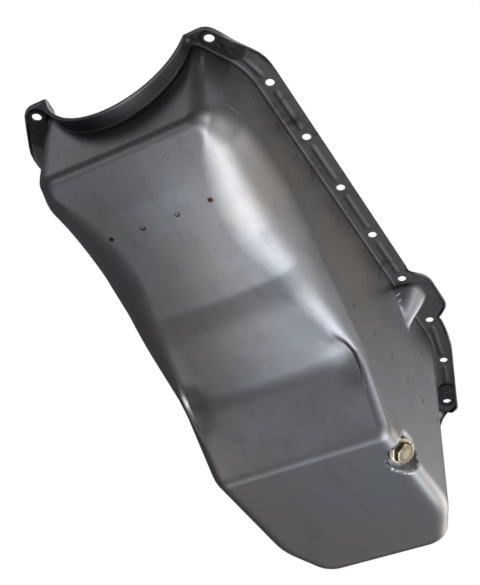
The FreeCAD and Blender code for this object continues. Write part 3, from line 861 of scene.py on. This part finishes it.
def room_form(room):
    """Closed form of the room inside the shell: a grid of its inner surface with a fan
    over the top."""
    columns, rows = room.shape[:2]
    number = numbered(columns, rows)
    vertices = np.concatenate([room.reshape(-1, 3), room[:, 0].mean(0)[None]])
    ring = np.stack([np.roll(number[:, 0], -1), number[:, 0], np.full(columns, columns * rows)], -1)
    return vertices, quads(number, []).tolist() + ring.tolist()


def numbered(columns, rows, first=0):
    """Vertex numbers of a grid whose two sides share their points on the centre line."""
    number = first + np.arange(columns * rows).reshape(columns, rows)
    far = np.arange(columns // 2 + 1, columns)
    number[far, -1] = number[columns - far, -1]
    return number


def quads(number, left_out):
    """Faces of a grid that closes along its first axis, without the cells left out."""
    nxt = np.roll(number, -1, 0)
    cells = np.stack([number[:, :-1], number[:, 1:], nxt[:, 1:], nxt[:, :-1]], -1)
    keep = np.ones(cells.shape[:2], bool)
    if left_out:
        i, j = np.array(left_out).T
        keep[i, j] = False
    return cells[keep]


def strip(a, b):
    """Closed band of faces between two rings of vertices."""
    return np.stack([a, np.roll(a, -1), np.roll(b, -1), b], -1)


def hole_walls(number, inner_number, hole_columns, row, columns):
    """Walls through the sheet round each bolt hole."""
    half = CELLS // 2
    rows = []
    for column in hole_columns + [columns - c for c in hole_columns]:
        side = np.arange(-half, half)
        i = np.r_[side, np.full(2 * half, half), -side, np.full(2 * half, -half)] + column
        j = np.r_[np.full(2 * half, -half), side, np.full(2 * half, half), -side] + row
        rows.append(strip(inner_number[i % columns, j], number[i % columns, j]))
    return np.concatenate(rows)


def cut(piece, vertices, faces, operation):
    """Applies a boolean between a piece and a closed form given in millimetres."""
    tool = mesh_object("cutter", vertices, faces)
    modifier = piece.modifiers.new("cut", "BOOLEAN")
    modifier.operation = operation
    modifier.solver = "EXACT"
    modifier.object = tool
    bpy.context.view_layer.update()
    done = piece.evaluated_get(bpy.context.evaluated_depsgraph_get())
    result = bpy.data.meshes.new_from_object(done)
    piece.modifiers.clear()
    if not result.polygons:
        raise RuntimeError(f"{piece.name} is empty after its cut")
    piece.data = result
    bpy.data.objects.remove(tool)


def square_cutter():
    """Prism through the sheet at the drain's seat."""
    right, across, out = drain_axes()
    half = SQUARE_HOLE / 2
    corners = [(-half, -half), (half, -half), (half, half), (-half, half)]
    flat = np.array([np.array(DRAIN_SEAT) + right * a + across * b for a, b in corners])
    reach = out * SQUARE_CUT
    faces = [(0, 3, 2, 1), (4, 5, 6, 7)] + [(i, (i + 1) % 4, 4 + (i + 1) % 4, 4 + i) for i in range(4)]
    return np.concatenate([flat - reach, flat + reach]), faces


class Socket:
    """A node's output, with the operators that shader expressions use."""

    def __init__(self, shader, socket):
        self.shader = shader
        self.socket = socket

    def _maths(self, operation, *values):
        return self.shader.node("ShaderNodeMath", {"operation": operation}, *values)

    def __add__(self, other):
        return self._maths("ADD", self, other)

    def __sub__(self, other):
        return self._maths("SUBTRACT", self, other)

    def __rsub__(self, other):
        return self._maths("SUBTRACT", other, self)

    def __mul__(self, other):
        return self._maths("MULTIPLY", self, other)

    def __truediv__(self, other):
        return self._maths("DIVIDE", self, other)

    def __pow__(self, other):
        return self._maths("POWER", self, other)

    __radd__ = __add__
    __rmul__ = __mul__


class Nodes:
    """A node tree that is written as expressions."""

    def __init__(self, owner):
        owner.use_nodes = True
        self.tree = owner.node_tree

    def node(self, kind, settings=None, *values, output=0, **named):
        """Adds a node, sets its properties, then its sockets by place and by name."""
        node = self.tree.nodes.new(kind)
        for key, value in (settings or {}).items():
            setattr(node, key, value)
        for index, value in enumerate(values):
            self.feed(node.inputs[index], value)
        for key, value in named.items():
            self.feed(node.inputs[key.replace("_", " ")], value)
        return Socket(self, node.outputs[output])

    def feed(self, socket, value):
        """Links a socket, or sets its value: a colour of three numbers gets full alpha."""
        if isinstance(value, Socket):
            self.tree.links.new(value.socket, socket)
            return
        size = len(socket.default_value) if hasattr(socket.default_value, "__len__") else 0
        if size and not hasattr(value, "__len__"):
            value = [value] * size
        elif size > 3 and len(value) == 3:
            value = (*value, 1)
        socket.default_value = value

    def set(self, target, **sockets):
        for key, value in sockets.items():
            self.feed(self.tree.nodes[target].inputs[key.replace("_", " ")], value)

    def band(self, value, low, high):
        """Share from 0 to 1 as a value goes from low to high, clamped and smooth."""
        return self.node(
            "ShaderNodeMapRange", {"interpolation_type": "SMOOTHSTEP"}, value, low, high, 0.0, 1.0
        )

    def blend(self, share, a, b):
        return self.node(
            "ShaderNodeMix", {"data_type": "RGBA"}, output=2, Factor=share, **{"A": a, "B": b}
        )

    def vector(self, operation, *values, output=0, **named):
        return self.node("ShaderNodeVectorMath", {"operation": operation}, *values, output=output, **named)


class Shader(Nodes):
    """A material's nodes round one Principled surface."""

    def __init__(self, name):
        self.material = bpy.data.materials.new(name)
        super().__init__(self.material)

    def surface(self, colour, roughness, bump=None, metallic=1.0):
        """Sets the surface; a bump is its strength, its distance in metres and its height."""
        if bump:
            strength, distance, height = bump
            normal = self.node("ShaderNodeBump", None, Strength=strength, Distance=distance, Height=height)
            self.set("Principled BSDF", Normal=normal)
        self.set("Principled BSDF", Base_Color=colour, Metallic=metallic, Roughness=roughness)
        return self.material

    def place(self):
        return self.node("ShaderNodeTexCoord", output=3)

    def stretched(self, scale):
        """Object coordinates with their own scale along each axis."""
        return self.vector("MULTIPLY", self.place(), scale)

    def noise(self, where, scale, detail=3.0, roughness=0.5):
        return self.node(
            "ShaderNodeTexNoise", None, Vector=where, Scale=scale, Detail=detail, Roughness=roughness
        )

    def spot(self, centre, radius, soft, flat=(1, 1, 1)):
        """Share that is 1 within a radius of a point in metres and fades over soft, with
        its own scale along each axis."""
        centre = [c * f for c, f in zip(centre, flat)]
        away = self.vector("DISTANCE", self.vector("MULTIPLY", self.place(), flat), centre, output=1)
        return 1 - self.band(away, radius, radius + soft)


def weld_marks(shader):
    """Masks of the weld spots: the two solid ones and the two open rings on the floor, and
    the short upright marks on the driver's side wall."""
    level = (1, 1, 0)
    place = [(x * SCALE, y * SCALE, 0) for x, y in FLOOR_WELDS]
    solid = shader.spot(place[0], 0.0018, 0.0012, level) + shader.spot(place[3], 0.0018, 0.0012, level)
    ring = 0.0
    for x, y, _ in place[1:3]:
        outer = shader.spot((x, y, 0), 0.0022, 0.0008, level)
        middle = shader.spot((x + 0.0008, y, 0), 0.0012, 0.0008, level)
        ring = ring + outer * (1 - middle)
    upright = (1, 0, 0.35)
    side = 0.0
    for x in SIDE_WELDS:
        side = side + shader.spot((x * SCALE, 0, SIDE_WELD_Z * SCALE), 0.0006, 0.0012, upright)
    return solid, ring, side


def drawn_steel(settings):
    """Bare drawn sheet: satin grain, bluish and brownish clouds, a dark flange, painted shade on the front
    arch's rim, darker strokes and patches on the driver's upper wall, specks, and scorched weld spots."""
    shader = Shader("drawn_steel")
    where = shader.place()
    x, y, z = (shader.node("ShaderNodeSeparateXYZ", None, where, output=k) for k in range(3))
    cloud = shader.noise(where, 14.0, 5.0, 0.62)
    tint = shader.noise(where, 5.0, 3.0, 0.5)
    streak = shader.noise(shader.stretched((5.0, 22.0, 30.0)), 3.0, 5.0, 0.65)
    grain = shader.noise(shader.stretched((90.0, 240.0, 240.0)), 12.0, 3.0, 0.6)
    speck = shader.noise(where, 420.0, 2.0, 0.5)
    solid, ring, side = weld_marks(shader)
    driver = shader.band(y, 0.085, 0.098)
    below = shader.band(z, -0.19, -0.12)

    steel = np.array(settings.steel)
    colour = shader.blend(shader.band(tint, 0.35, 0.65), steel * (1.06, 1.0, 0.93), steel * (0.93, 0.98, 1.1))
    colour = shader.blend(shader.band(cloud, 0.35, 0.7) * 0.5, colour, steel * 0.72)
    colour = shader.blend(shader.band(streak, 0.5, 0.78) * 0.35, colour, steel * 0.5)
    brown = driver * (1 - below) * shader.band(cloud, 0.4, 0.65)
    colour = shader.blend(brown * 0.5, colour, steel * (0.85, 0.74, 0.62))

    # The flange takes its own darker colour. The strip under the front arch's rim and the top of the front
    # wall just below it get the same colour as painted shade, the shadow under the rim.
    reach = (y * y + (z - FRONT_ARCH[1] * SCALE) ** 2.0) ** 0.5
    rim = (1 - shader.band(reach, 0.0755, 0.0825)) * shader.band(x, 0.2, 0.22)
    flange = shader.node("ShaderNodeMath", {"operation": "MAXIMUM"}, shader.band(z, -0.007, -0.003), rim)
    colour = shader.blend(flange * 0.95, colour, settings.flange[:])

    # Darker strokes and patches on the driver's wall, from just under the rail down to about 95 mm, with the
    # strokes mostly ahead of the pocket; they also raise the roughness.
    strokes = shader.band(shader.noise(shader.stretched((55.0, 20.0, 7.0)), 2.0, 5.0, 0.7), 0.56, 0.72)
    high = shader.band(z, -0.095, -0.012)
    driver_wall_darkening = strokes * high * driver * shader.band(x, -0.19, -0.1)
    patches = shader.band(shader.noise(shader.stretched((20.0, 20.0, 14.0)), 2.2, 6.0, 0.75), 0.52, 0.7)
    driver_wall_darkening = driver_wall_darkening * 0.75 + patches * high * driver * 0.55
    colour = shader.blend(driver_wall_darkening, colour, settings.soot[:])
    pits = shader.band(speck, 0.70, 0.77)
    colour = shader.blend(pits * 0.55, colour, settings.soot[:])
    colour = shader.blend(side * driver * 0.9, colour, settings.soot[:])
    low = 1 - shader.band(z, -0.1, -0.09)
    colour = shader.blend((solid + ring) * low, colour, settings.rust[:])
    rough = 0.27 + cloud * 0.16 + driver_wall_darkening * 0.25 + flange * 0.1 + pits * 0.2
    relief = grain * 0.4 + (solid + ring) * low * 1.5 + side * driver * 0.8 - pits * 0.4
    return shader.surface(colour, rough, (0.05, 0.0005, relief))


def dark_plate(settings):
    """Dark scale on the corner plates, worn a little lighter in patches, with two sunken
    weld dots on each."""
    shader = Shader("dark_plate")
    wear = shader.band(shader.noise(shader.place(), 90.0, 4.0, 0.6), 0.5, 0.7)
    dots = 0.0
    for bolt, far in ((FRONT_CORNER, FRONT_PLATE_END), (REAR_CORNER, REAR_PLATE_END)):
        for share in PLATE_DOTS:
            x, y = (a + (b - a) * share for a, b in zip(bolt, far))
            for side in (1, -1):
                dots = dots + shader.spot((x * SCALE, side * y * SCALE, 0), 0.0012, 0.0012, (1, 1, 0))
    dark = [c * 0.45 for c in settings.flange]
    colour = shader.blend(wear * 0.6, dark, settings.flange[:])
    colour = shader.blend(dots * 0.8, colour, settings.soot[:])
    return shader.surface(colour, 0.4 + wear * 0.12, (0.6, 0.001, wear * 0.1 - dots), 0.9)


def zinc(settings):
    """Yellowish zinc plating: bright on the round flange and the chamfer, worn dull and
    brown on the hexagon's face and stained olive on its sides."""
    shader = Shader("yellow_zinc")
    cloud = shader.noise(shader.place(), 160.0, 4.0, 0.6)
    colour = shader.blend(shader.band(cloud, 0.4, 0.7), settings.zinc[:], [c * 0.7 for c in settings.zinc])
    seat = [c * SCALE for c in DRAIN_SEAT]
    out = drain_axes()[2]
    away = shader.vector("SUBTRACT", shader.place(), seat)
    height = shader.vector("DOT_PRODUCT", away, out, output=1) / SCALE
    head = GASKET_THICKNESS + HEAD_THICKNESS
    top = head + HEX_HEIGHT
    side = shader.band(height, head + 0.2, head + 0.8) * (1 - shader.band(height, top - 1.5, top - 1.2))
    face = shader.band(height, top - 0.14, top - 0.08)
    colour = shader.blend(side * 0.9, colour, settings.stain[:])
    colour = shader.blend(face * 0.85, colour, settings.worn[:])
    fine = shader.noise(shader.place(), 2600.0, 2.0, 0.5)
    rough = 0.18 + cloud * 0.15 + face * 0.22 + side * 0.1
    return shader.surface(colour, rough, (0.08, 0.0002, fine))


def fibre(settings):
    """Dark pressed fibre of the gasket."""
    shader = Shader("gasket_fibre")
    grain = shader.noise(shader.place(), 1400.0, 3.0, 0.6)
    colour = shader.blend(grain, settings.fibre[:], [c * 2.2 for c in settings.fibre])
    return shader.surface(colour, 0.75, (0.3, 0.0002, grain), 0.0)


def plain_steel(name, colour, roughness):
    """Steel of the hidden pieces, with a soft mottle."""
    shader = Shader(name)
    cloud = shader.noise(shader.place(), 40.0, 4.0, 0.6)
    tint = shader.blend(cloud, colour, [c * 0.7 for c in colour])
    return shader.surface(tint, roughness + cloud * 0.1)


def paint(piece, material):
    piece.data.materials.clear()
    piece.data.materials.append(material)


def finish(piece, material, body, node):
    """Paints a new piece, hangs it on its body and hides the part that it replaces."""
    paint(piece, material)
    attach(piece, body)
    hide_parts(node)


def lathe(radius, height):
    """Grid of a turned form: radius and height along the profile, each a function of the
    angle, carried round the drain's axis from its seat."""
    right, across, out = drain_axes()
    angle = np.linspace(0, 2 * np.pi, PLUG_SIDES, endpoint=False)
    r, h = np.broadcast_arrays(radius(angle[:, None]), height(angle[:, None]))
    ring = np.cos(angle)[:, None, None] * right + np.sin(angle)[:, None, None] * across
    return np.array(DRAIN_SEAT) + ring * r[..., None] + out * h[..., None]


def closed_grid(grid):
    """Vertices and faces of a turned grid with its first and last rings filled by fans."""
    columns, rows = grid.shape[:2]
    number = np.arange(columns * rows).reshape(columns, rows)
    first = np.full(columns, columns * rows)
    nxt = np.roll(number, -1, 0)
    fans = np.concatenate([
        np.stack([nxt[:, 0], number[:, 0], first], -1),
        np.stack([number[:, -1], nxt[:, -1], first + 1], -1),
    ])
    vertices = np.concatenate([grid.reshape(-1, 3), [grid[:, 0].mean(0), grid[:, -1].mean(0)]])
    return vertices, quads(number, [])[:, ::-1].tolist() + fans.tolist()


def hex_plug(settings):
    """Drain plug: a hexagon whose radius over the angle is half its flats over the cosine
    of the angle from the nearest flat, cut by the chamfer's cone, on a round flange,
    over a shank with a helical thread."""
    chamfer = settings.chamfer / SCALE
    pitch = settings.pitch / SCALE

    def hexagon(angle):
        turn = (angle + np.pi / 6) % (np.pi / 3) - np.pi / 6
        sharp = HEX_FLATS / 2 / np.cos(turn)
        return soft_min(sharp, np.full_like(sharp, HEX_FLATS / 2 / math.cos(math.pi / 6) - 0.25), 0.35)

    base = GASKET_THICKNESS
    head = base + HEAD_THICKNESS
    top = head + HEX_HEIGHT
    thread = np.arange(base - SHANK_LENGTH + 1.2, base - 0.6, pitch / 6)

    def radius(angle):
        six = hexagon(angle)
        crown = HEX_FLATS / 2 - 0.35
        even = 0 * angle
        phase = (thread[None] / pitch - angle / (2 * np.pi)) % 1
        rows = [SHANK_RADIUS - inset + even for inset in (1.3, 0.9)]
        rows += [SHANK_RADIUS - THREAD_DEPTH * np.abs(2 * phase - 1), SHANK_RADIUS - 0.5 + even]
        rows += [HEAD_RADIUS - inset + even for inset in (0.3, 0, 0, 0.5)]
        rows += [six + 0.7, six + 0.15, six, six, np.minimum(six, crown + 0.55), np.minimum(six, crown)]
        rows += [v + even for v in (crown - 0.6, crown - 1.2, crown * 0.5)]
        return np.concatenate(rows, 1)

    def height(angle):
        even = 0 * angle
        fall = (hexagon(angle) - HEX_FLATS / 2 + 0.3) / 2.0
        rows = [base - SHANK_LENGTH + even, base - SHANK_LENGTH + 0.4 + even]
        rows += [thread[None] + even, base - 0.3 + even]
        rows += [v + even for v in (base, base + 0.3, head - 0.5, head, head + 0.05, head + 0.3, head + 0.9)]
        rows += [top - chamfer * 0.3 - fall]
        rows += [top - drop + even for drop in (0.35, 0.12, 0, 0.05, 0.1)]
        return np.concatenate(rows, 1)

    piece = mesh_object("zinc_drain_plug", *closed_grid(lathe(radius, height)))
    smooth(piece, 32)
    return piece


def merged(mesh):
    """Copy of a mesh with its split vertices joined."""
    form = bmesh.new()
    form.from_mesh(mesh)
    bmesh.ops.remove_doubles(form, verts=form.verts, dist=MERGE_DISTANCE)
    copy = mesh.copy()
    form.to_mesh(copy)
    form.free()
    return copy


class MESH_OT_pan_shell(bpy.types.Operator):
    """Drawn shell with its flange, arches, pocket, recess, dents and beads, and the tray
    trimmed to the room inside it"""

    bl_idname = "mesh.pan_shell"
    bl_label = "Drawn shell"

    def execute(self, context):
        settings = context.scene.pan
        vertices, faces, room = shell_mesh(settings)
        piece = mesh_object("drawn_shell", vertices, faces)
        smooth(piece, 40)
        cut(piece, *square_cutter(), "DIFFERENCE")
        tray = frame["nodes"]["baffle_tray"].copy()
        tray.data = merged(tray.data)
        tray.name = "folded_tray"
        context.scene.collection.objects.link(tray)
        cut(tray, *room_form(room), "INTERSECT")
        finish(tray, plain_steel("tray_steel", settings.steel[:], 0.35), "pan", "baffle_tray")
        finish(piece, drawn_steel(settings), "pan", "pan_shell")
        return {"FINISHED"}


class MESH_OT_pan_plates(bpy.types.Operator):
    """Finish of the corner plates and the insert"""

    bl_idname = "mesh.pan_plates"
    bl_label = "Plates and insert"

    def execute(self, context):
        settings = context.scene.pan
        scale = dark_plate(settings)
        for name, node in frame["nodes"].items():
            if name.endswith("corner_plate"):
                paint(node, scale)
        paint(frame["nodes"]["drain_insert"], plain_steel("insert_steel", [0.1, 0.1, 0.1], 0.45))
        return {"FINISHED"}


class MESH_OT_drain_plug(bpy.types.Operator):
    """Drain plug with a hexagon, a flange and a thread, and its gasket"""

    bl_idname = "mesh.pan_drain_plug"
    bl_label = "Drain plug"

    def execute(self, context):
        settings = context.scene.plug
        finish(hex_plug(settings), zinc(settings), "plug", "drain_plug")
        paint(frame["nodes"]["drain_gasket"], fibre(settings))
        return {"FINISHED"}


# Camera: its place in metres, and the directions to its right and ahead of it
CAMERA_AT = (0.787454, 0.462403, -0.921713)
CAMERA_RIGHT = (-0.492557, 0.869746, 0.030480)
CAMERA_AHEAD = (-0.622147, -0.376393, 0.686484)
SENSOR = 36.0

# Floor, in millimetres
FLOOR_HALF = 6000.0
FLOOR_GAP = 0.6                   # keeps the floor off the sump's level face

# Softbox: its side and place in metres, and its directions
SOFTBOX_SIZE = 1.6
SOFTBOX_AT = (0.138885, 0.089443, 1.688854)
SOFTBOX_RIGHT = (-1.0, 2.0, 0.0)
SOFTBOX_AHEAD = (-0.1, -0.05, -1.0)


def aimed(name, data, place, right, ahead):
    """Object for a camera or lamp at a place, looking ahead."""
    thing = bpy.data.objects.new(name, data)
    right, ahead = Vector(right).normalized(), Vector(ahead).normalized()
    turn = Matrix([right, right.cross(ahead), -ahead]).transposed()
    thing.matrix_world = Matrix.Translation(place) @ turn.to_4x4()
    bpy.context.scene.collection.objects.link(thing)
    return thing


class SCENE_OT_pan_stage(bpy.types.Operator):
    """Camera at the photograph's viewing angle, floor, world and a softbox above"""

    bl_idname = "scene.pan_stage"
    bl_label = "Stage"

    def execute(self, context):
        settings = context.scene.stage
        scene = context.scene
        scene.view_settings.view_transform = "Standard"
        camera = bpy.data.cameras.new("camera")
        camera.lens = settings.lens
        camera.sensor_width = SENSOR
        camera.clip_start = 0.01
        scene.camera = aimed("camera", camera, CAMERA_AT, CAMERA_RIGHT, CAMERA_AHEAD)

        low = CAD_BOX[0][2] / SCALE - FLOOR_GAP
        corners = [(x * FLOOR_HALF, y * FLOOR_HALF, low) for x, y in ((-1, -1), (1, -1), (1, 1), (-1, 1))]
        floor = mesh_object("floor", corners, [(0, 1, 2, 3)])
        paint(floor, floor_finish())

        light = bpy.data.lights.new("ceiling", "AREA")
        light.energy = settings.ceiling
        light.size = SOFTBOX_SIZE
        aimed("ceiling", light, SOFTBOX_AT, SOFTBOX_RIGHT, SOFTBOX_AHEAD)

        scene.world = bpy.data.worlds.new("studio")
        studio_world(scene.world, settings.studio)
        return {"FINISHED"}


def floor_finish():
    """Pale floor that only a camera above it sees, so a view from below looks through it
    and light from below reaches the pan."""
    shader = Shader("pale_floor")
    shader.set("Principled BSDF", Base_Color=(0.9, 0.9, 0.9, 1), Roughness=0.9)
    behind = shader.node("ShaderNodeNewGeometry", output=6)
    seen = shader.node("ShaderNodeLightPath", output=0)
    share = seen * (1 - behind)
    clear = shader.node("ShaderNodeBsdfTransparent")
    solid = Socket(shader, shader.tree.nodes["Principled BSDF"].outputs[0])
    mixed = shader.node("ShaderNodeMixShader", None, share, clear, solid)
    shader.set("Material Output", Surface=mixed)
    return shader.material


# Soft lights of the studio: direction, sharpness, strength and tint
GLOW = 0.095
GLOW_TINT = (0.99, 0.99, 1.03)
LIGHTS = (
    ((-0.28, 0.36, -0.89), 13, 2.8, (1.0, 1.0, 1.0)),
    ((-0.29, 0.92, -0.27), 2, 0.42, (1.04, 1.0, 0.95)),
    ((0.50, -0.37, -0.78), 24, 0.55, (1.03, 1.0, 0.97)),
    ((-0.91, 0.41, 0.10), 16, 3.0, (1.05, 1.0, 0.94)),
    ((-0.61, 0.43, -0.66), 32, 2.2, (1.0, 1.0, 1.0)),
    ((0.66, -0.46, 0.58), 20, 0.45, (1.03, 1.0, 0.96)),
    ((0.25, 0.94, -0.23), 16, 1.35, (1.03, 1.0, 0.96)),
    ((-0.42, -0.12, -0.90), 24, 1.25, (0.98, 1.0, 1.04)),
)


def studio_world(world, strength):
    """White for the camera. For all else a dim glow with soft lights: each adds its
    strength times the cosine to its direction, raised to its sharpness."""
    shader = Nodes(world)
    where = shader.node("ShaderNodeTexCoord")
    total = [c * GLOW for c in GLOW_TINT]
    for direction, sharpness, power, tint in LIGHTS:
        unit = Vector(direction).normalized()
        facing = shader.vector("DOT_PRODUCT", where, unit, output=1)
        lobe = shader.node("ShaderNodeMath", {"operation": "MAXIMUM"}, facing, 0.0) ** float(sharpness)
        light = shader.vector("SCALE", [c * power for c in tint], Scale=lobe)
        total = shader.vector("ADD", light, total)
    seen = shader.node("ShaderNodeLightPath", output=0)
    colour = shader.blend(seen, shader.vector("SCALE", total, Scale=strength), (1.0, 1.0, 1.0, 1.0))
    shader.set("Background", Color=colour, Strength=1.0)


class VIEW3D_PT_oil_pan(bpy.types.Panel):
    """Buttons that build the pieces of the pan and the stage"""

    bl_label = "Oil Pan"
    bl_idname = "VIEW3D_PT_oil_pan"
    bl_space_type = "VIEW_3D"
    bl_region_type = "UI"
    bl_category = "Oil Pan"

    def draw(self, context):
        for operator in OPERATORS:
            self.layout.operator(operator.bl_idname)


GROUPS = {"pan": PanSettings, "plug": PlugSettings, "stage": StageSettings}
OPERATORS = (MESH_OT_pan_shell, MESH_OT_pan_plates, MESH_OT_drain_plug, SCENE_OT_pan_stage)


def register():
    for kind in (*GROUPS.values(), *OPERATORS, VIEW3D_PT_oil_pan):
        bpy.utils.register_class(kind)
    for name, kind in GROUPS.items():
        setattr(bpy.types.Scene, name, PointerProperty(type=kind))


def unregister():
    for name in GROUPS:
        delattr(bpy.types.Scene, name)
    for kind in reversed((*GROUPS.values(), *OPERATORS, VIEW3D_PT_oil_pan)):
        bpy.utils.unregister_class(kind)


def main():
    register()
    bpy.ops.mesh.pan_shell()
    bpy.ops.mesh.pan_plates()
    bpy.ops.mesh.pan_drain_plug()
    bpy.ops.scene.pan_stage()


if __name__ == "__main__":
    main()
